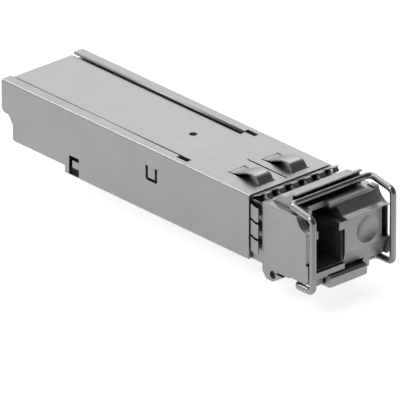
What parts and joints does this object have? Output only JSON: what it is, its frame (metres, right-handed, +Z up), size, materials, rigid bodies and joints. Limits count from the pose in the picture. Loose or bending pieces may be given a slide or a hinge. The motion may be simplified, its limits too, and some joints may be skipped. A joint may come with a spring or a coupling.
{
  "type": "sfp transceiver",
  "caption": "Small pluggable optical transceiver with one fibre port, a blank half, a wire bail and a rocker latch under its nose.",
  "frame": {"origin": "the latch shoulder, on the centre line of the bottom face", "axes": "+X towards the port end, +Z up through the top face"},
  "size_m": [0.0567, 0.0142, 0.012],
  "materials": {
    "shell_steel": "satin",
    "cover_zinc": "satin",
    "cast_zinc": "satin",
    "spring_steel": "satin",
    "black_plastic": "matte",
    "barrel_steel": "satin",
    "ceramic": "gloss",
    "block_steel": "satin",
    "can_gold": "satin",
    "flex_film": "matte",
    "board_green": "satin",
    "contact_gold": "satin",
    "chip_black": "matte",
    "capacitor_tan": "matte",
    "lever_zinc": "satin",
    "pin_steel": "satin",
    "bail_steel": "polished"
  },
  "bodies": {
    "module": {"outer_shell": "shell_steel", "inner_cover": "cover_zinc", "cast_housing": "cast_zinc", "finger_collar": "spring_steel", "port_insert": "black_plastic", "receptacle_barrel": "barrel_steel", "split_sleeve": "ceramic", "fibre_stub": "ceramic", "optical_block": "block_steel", "laser_can": "can_gold", "receiver_can": "can_gold", "laser_flex": "flex_film", "receiver_flex": "flex_film", "circuit_board": "board_green", "contact_pads_top": "contact_gold", "contact_pads_bottom": "contact_gold", "driver_chip": "chip_black", "controller_chip": "chip_black", "memory_chip": "chip_black", "chip_capacitors": "capacitor_tan", "lever_pin": "pin_steel"},
    "lever": {"latch_lever": "lever_zinc", "return_spring": "spring_steel"},
    "bail": {"bail": "bail_steel"}
  },
  "joints": [
    {"name": "bail_swing", "type": "hinge", "parent": "module", "child": "bail", "pos_m": [0.0083, 0, -0.00055], "axis": [0, 1, 0], "range_deg": [0, 90]},
    {"name": "lever_rock", "type": "hinge", "parent": "module", "child": "lever", "pos_m": [0.0043, 0, -0.00055], "axis": [0, 1, 0], "range_deg": [0, 6.9]}
  ],
  "couplings": [
    {"joint": "lever_rock", "follows": "bail_swing", "ratio": 0.076667}
  ]
}
